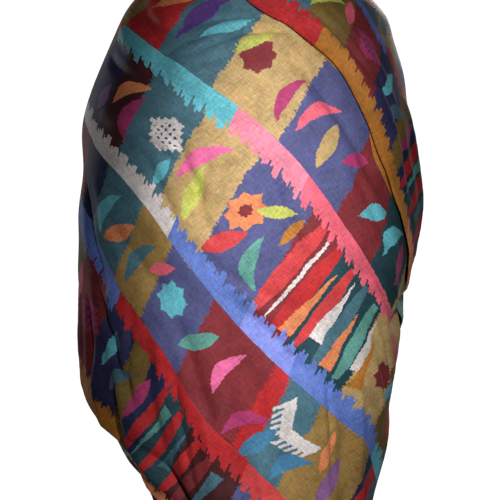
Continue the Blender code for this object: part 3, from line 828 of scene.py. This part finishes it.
# What shapes each kind, in parts of its half length and half width
DIAMOND_STEPS = (0.2, 0.25)
CURL_BEND, CURL_MIDDLE, CURL_THINNESS = 0.9, 0.3, 1.5
BAR_TAPER = 0.5
WEDGE_SLOPE, WEDGE_MIDDLE = 0.5, 0.52
STAR_SQUARE = 1.42       # takes the square's corners as far out as the diamond's
CHEVRON_SLOPE, STRANDS, STRAND_GAP = 0.7, 5.0, 0.45
STRAND_ROOT, STRAND_TIP = 0.5, 0.42
CUT_SHARP = -40.0        # how suddenly the chevron ends below
DOT_ACROSS, DOT_UP, DOT_SIZE, DOTS_WITHIN = 0.12, 0.14, 0.085, 0.72
DOT_YARN = "deep_indigo"
for kind, at_along, at_over, turn, half_length, half_width, yarn in FIGURES:
    cosine, sine = math.cos(math.radians(turn)), math.sin(math.radians(turn))
    own = add("VectorMath:SUBTRACT", [spot, (at_along, at_over, 0.0)])
    length_way = (cosine / half_length, sine / half_length, 0.0)
    width_way = (-sine / half_width, cosine / half_width, 0.0)
    far = add("VectorMath:DOT_PRODUCT", [own, length_way]).outputs["Value"]
    high = add("VectorMath:DOT_PRODUCT", [own, width_way]).outputs["Value"]
    if kind == "diamond":            # its outline climbs in steps
        smooth_far, smooth_high = far, high
        far = add("Math:SNAP", [far, DIAMOND_STEPS[0]])
        high = add("Math:SNAP", [high, DIAMOND_STEPS[1]])
    x = add("Math:ABSOLUTE", [far])
    y = add("Math:ABSOLUTE", [high])
    if kind == "leaf":
        reach = add("Math:MULTIPLY_ADD", [x, x, y])
    elif kind == "curl":             # a leaf that bends to one side
        square = add("Math:MULTIPLY", [x, x])
        bent = add("Math:MULTIPLY_ADD", [square, CURL_BEND, high])
        off_line = add("Math:ABSOLUTE", [add("Math:ADD", [bent, -CURL_MIDDLE])])
        reach = add("Math:MULTIPLY_ADD", [off_line, CURL_THINNESS, square])
    elif kind == "bar":              # a spindle with cut ends
        square = add("Math:MULTIPLY", [x, x])
        taper = add("Math:MULTIPLY_ADD", [square, BAR_TAPER, y])
        reach = add("Math:MAXIMUM", [taper, x])
    elif kind == "wedge":            # a long triangle
        wide = add("Math:MULTIPLY_ADD", [far, WEDGE_SLOPE, WEDGE_MIDDLE])
        taper = add("Math:DIVIDE", [y, wide])
        reach = add("Math:MAXIMUM", [taper, x])
    elif kind == "diamond":
        reach = add("Math:ADD", [x, y])
    elif kind == "star":             # a square and a diamond laid over each other
        diamond = add("Math:ADD", [x, y])
        square = add("Math:MULTIPLY", [add("Math:MAXIMUM", [x, y]), STAR_SQUARE])
        reach = add("Math:MINIMUM", [square, diamond])
    else:                            # a chevron with a fringe of threads along its top
        climb = add("Math:MULTIPLY_ADD", [x, CHEVRON_SLOPE, high])
        strand = add("Math:FRACT", [add("Math:MULTIPLY", [x, STRANDS])])
        long_strand = add("Math:GREATER_THAN", [strand, STRAND_GAP])
        fringe = add("Math:MULTIPLY_ADD", [long_strand, STRAND_TIP, STRAND_ROOT])
        above = add("Math:DIVIDE", [climb, fringe])
        below = add("Math:MULTIPLY", [climb, CUT_SHARP])
        reach = add("Math:MAXIMUM", [add("Math:MAXIMUM", [above, below]), x])
    inside = add("Math:LESS_THAN", [reach, 1.0])
    layers.append((inside, YARNS[yarn]))
    if kind == "diamond":            # rows of small dots, well inside the outline
        off_row = add("Math:PINGPONG", [smooth_far, DOT_ACROSS])
        off_column = add("Math:PINGPONG", [smooth_high, DOT_UP])
        dot = add("Math:LESS_THAN", [add("Math:ADD", [off_row, off_column]), DOT_SIZE])
        well_in = add("Math:LESS_THAN", [reach, DOTS_WITHIN])
        layers.append((add("Math:MULTIPLY", [dot, well_in]), YARNS[DOT_YARN]))

# %% [markdown]
# ## The toothed bands
#
# Each band has one smooth edge and one edge of teeth, like a comb with stepped sides. The width
# of the band at a point is a base width plus a small stair that starts again with every tooth,
# and each tooth has a length of its own.

# %% Bands
TOOTH = 0.020
BAND_WIDTH, TOOTH_DEPTH = 0.020, 0.015
TOOTH_SLANT = 0.45       # the slits between the teeth lean a little
SLIT, HALFWAY = 0.16, 0.50               # in parts of a tooth: where it steps up, and steps again
IN_SLIT, FIRST_STEP, NEXT_STEP, RAGGED = -0.14, 0.46, 0.38, 0.46     # in parts of its length
TUFT = 0.0034            # threads that end together
SHORTEST, VARIES = 0.65 * TOOTH_DEPTH, 0.4 * TOOTH_DEPTH     # each tooth's own length
UP_MIDDLE, DOWN_MIDDLE = 0.012, 0.178    # the middle line of each band
leaning = add("Math:MULTIPLY_ADD", [band_over, TOOTH_SLANT, band_along])
tooth_at = add("Math:DIVIDE", [leaning, TOOTH])
tooth_own = add("TexWhiteNoise", {"W": add("Math:FLOOR", [tooth_at])}, noise_dimensions="1D")
across_tooth = add("Math:FRACT", [tooth_at])
out_of_slit = add("Math:GREATER_THAN", [across_tooth, SLIT])
step = add("Math:MULTIPLY_ADD", [out_of_slit, FIRST_STEP, IN_SLIT])
past_half = add("Math:GREATER_THAN", [across_tooth, HALFWAY])
stair = add("Math:MULTIPLY_ADD", [past_half, NEXT_STEP, step])
thread_own = add("TexWhiteNoise", {"W": add("Math:SNAP", [leaning, TUFT])}, noise_dimensions="1D")
ragged = add("Math:MULTIPLY_ADD", [thread_own, RAGGED, stair])
tooth_length = add("Math:MULTIPLY_ADD", [tooth_own, VARIES, SHORTEST])
width = add("Math:MULTIPLY_ADD", [ragged, tooth_length, BAND_WIDTH])
in_up = add("Math:LESS_THAN", [band_over, width])
below_down = add("Math:SUBTRACT", [DOWN_BAND - UP_BAND, band_over])
near_down = add("Math:LESS_THAN", [below_down, width])
in_down = add("Math:MULTIPLY", [near_down, add("Math:GREATER_THAN", [below_down, 0.0])])

UP_YARNS = (
    (-0.38, "off_white"), (-0.095, "blue"), (0.06, "periwinkle"), (0.16, "blue"),
    (0.36, "turquoise"), (0.43, "red"), (0.595, "orange"), (0.9, "light_orange"),
    (0.99, "mint"),
)
DOWN_YARNS = (
    (-0.38, "turquoise"), (-0.16, "pink"), (-0.02, "coral"), (0.33, "mauve"),
    (0.42, "off_white"), (0.5, "blue"), (0.681, "red"), (0.98, "bright_red"),
)
layers.append((in_up, yarn_blocks(leaning, RUN_START + TOOTH_SLANT * UP_MIDDLE, UP_YARNS)))
layers.append((in_down, yarn_blocks(leaning, RUN_START + TOOTH_SLANT * DOWN_MIDDLE, DOWN_YARNS)))

# %% Lay the colours over each other
MIX_BY, MIX_A, MIX_B, MIXED = 0, 6, 7, 2     # a colour Mix node's sockets
colour = wide_ground
for where, upper in layers:
    mixed = add("Mix", {MIX_BY: where, MIX_A: colour, MIX_B: upper}, data_type="RGBA")
    colour = mixed.outputs[MIXED]

# %% [markdown]
# ## Yarn, wear and weave
#
# Hand-dyed yarn varies along its length and from thread to thread, so the colour has fine streaks
# both ways, and broad soft clouds where the cloth has faded. The weave itself is too fine to see
# as threads and only roughens the surface, and the laid-in bands stand a little proud of it.

# %% Streaks, clouds and bump. Scales are in repeats for each metre
ACROSS_YARN, ALONG_YARN = 620.0, 60.0            # streaks 1.6 mm wide and 17 mm long
GRAIN, CLOUDS, FLECKS, WEAVE = 380.0, 26.0, 170.0, 900.0     # 2.6, 38, 6 and 1.1 mm
GRAIN_PART, CLOUD_PART, BAND_PROUD, WEAVE_PART = 0.8, 1.2, 0.8, 0.6
SHADE_FROM, SHADE_TO, DARKEST, LIGHTEST = 1.40, 2.60, 0.62, 1.36
TINT_RANGE, TINT_LEAST = (0.6, 0.6, 0.6), (0.70, 0.70, 0.70)
lengthways, sideways = (
    add("Mapping", {"Vector": plan, "Scale": scale}, vector_type="POINT")
    for scale in ((ACROSS_YARN, ALONG_YARN, 1.0), (ALONG_YARN, ACROSS_YARN, 1.0))
)
streaks_up, streaks_across, grain, clouds, flecks, weave = (
    add("TexNoise", {"Vector": at, "Scale": scale, "Detail": detail}, noise_dimensions="2D")
    for at, scale, detail in (
        (lengthways, 1.0, 2.0), (sideways, 1.0, 2.0), (plan, GRAIN, 2.0), (plan, CLOUDS, 3.0),
        (plan, FLECKS, 3.0), (plan, WEAVE, 2.0),
    )
)
streaks = add("Math:ADD", [streaks_up, streaks_across])
uneven = add("Math:MULTIPLY_ADD", [grain, GRAIN_PART, streaks])
shade = add("Math:MULTIPLY_ADD", [clouds, CLOUD_PART, uneven])
bright = add("MapRange", [shade, SHADE_FROM, SHADE_TO, DARKEST, LIGHTEST])
dyed = add("VectorMath:SCALE", {0: colour, 3: bright})
tint = add("VectorMath:MULTIPLY_ADD", [flecks.outputs["Color"], TINT_RANGE, TINT_LEAST])
yarn_colour = add("VectorMath:MULTIPLY", [dyed, tint])

raised = add("Math:MAXIMUM", [in_up, in_down])       # laid-in threads stand proud
backing = add("Math:MULTIPLY_ADD", [raised, BAND_PROUD, streaks])
relief = add("Math:MULTIPLY_ADD", [weave, WEAVE_PART, backing])
bump = add("Bump", {"Strength": 0.25, "Distance": 0.0005, "Height": relief})
surface = add("BsdfPrincipled", {
    "Base Color": yarn_colour, "Normal": bump, "Roughness": 0.66, "Specular IOR Level": 0.22,
    "Sheen Weight": 0.06, "Sheen Roughness": 0.4,
})
add("OutputMaterial", {"Surface": surface})

# %% Put the cotton on, hang each piece from the root, hide its solid part, and print its flat size
for name, sections, *_ in STRETCHES:
    cloth = cloths[name]
    node, slot = name.replace("cloth", "stretch"), name.replace("cloth", "cotton")
    width, length, area = flat_cut(sections)
    print(name, "laid flat: %.2f x %.2f m, %.3f square metres" % (width, length, area))
    cloth.data.materials.clear()
    cloth.data.materials.append(cotton)
    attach(cloth, "root")
    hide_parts(node)

# %% [markdown]
# ## Floor, light and camera
#
# The picture is taken from straight ahead, close, with a light almost at the camera, so the
# middle of the cloth is bright and both sides fall off into shade. The pale floor and the round
# white wall glow a little by themselves and give the cloth no light. Three soft lights behind the
# wearer show the sides and the back without reaching the front.

# %% Stage
def stage_material(name, hex_colour, glow):
    material = bpy.data.materials.new(name)
    material.use_nodes = True
    face = material.node_tree.nodes["Principled BSDF"]
    face.inputs["Base Color"].default_value = linear(hex_colour)
    face.inputs["Roughness"].default_value = 0.9
    face.inputs["Emission Color"].default_value = linear(hex_colour)
    face.inputs["Emission Strength"].default_value = glow
    return material


bpy.ops.object.select_all(action="DESELECT")
bpy.ops.mesh.primitive_circle_add(vertices=96, radius=4.4, fill_type="NGON", location=(0.0, 0.0, -1.6))
floor = bpy.context.object
floor.name = "floor"
floor.data.materials.append(stage_material("pale_floor", "#ECEBE8", 0.7))
bpy.ops.mesh.primitive_cylinder_add(
    vertices=96, radius=7.0, depth=12.0, end_fill_type="NOTHING", location=(0.0, 0.0, 1.4),
)
wall = bpy.context.object
wall.name = "round_wall"
wall.data.materials.append(stage_material("white_paper", "#FFFFFF", 1.05))
for staged in (floor, wall):
    staged.visible_diffuse = staged.visible_glossy = False
    staged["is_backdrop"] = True

world = bpy.data.worlds.new("studio")
bpy.context.scene.world = world
world.use_nodes = True
world.node_tree.nodes["Background"].inputs["Color"].default_value = linear("#F2F2F4")
world.node_tree.nodes["Background"].inputs["Strength"].default_value = 0.07

# %% Lights and camera
CAMERA_AWAY, FRAME_HALF, CAMERA_LEVEL = 2.2, 0.375, -0.435


def aim(thing, target):
    """Turns a light or camera to look at a point."""
    way = Vector(target) - thing.location
    thing.rotation_euler = way.to_track_quat("-Z", "Y").to_euler()


bpy.ops.object.light_add(type="SPOT", location=(0.26, -2.00, 0.26))
key = bpy.context.object
key.name = "key_light"
key.data.shadow_soft_size = 0.08
key.data.energy = 210.0
key.data.spot_size = math.radians(24)
key.data.spot_blend = 1.0
aim(key, (0.012, 0.0, -0.505))
key.scale = (0.57, 1.32, 1.0)
for name, place, energy in (
    ("back_light", (1.3, 3.2, 1.5), 90.0),
    ("left_light", (-3.2, 2.3, 0.6), 30.0),
    ("right_light", (3.2, 2.8, 0.6), 14.0),
):
    bpy.ops.object.light_add(type="AREA", location=place)
    soft = bpy.context.object
    soft.name = name
    soft.data.size = 0.9
    soft.data.energy = energy
    soft.visible_camera = False
    aim(soft, (0.0, 0.0, -0.5))
bpy.context.scene.view_settings.view_transform = "Standard"

bpy.ops.object.camera_add(location=(0.0, -CAMERA_AWAY, CAMERA_LEVEL))
camera = bpy.context.object
aim(camera, (0.0, 0.0, CAMERA_LEVEL))
camera.data.angle = 2 * math.atan(FRAME_HALF / CAMERA_AWAY)
bpy.context.scene.camera = camera

# %% Print the sizes, and finish
low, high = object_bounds()
print("dressed model, mm:", [round(1000 * (b - a)) for a, b in zip(low, high)])
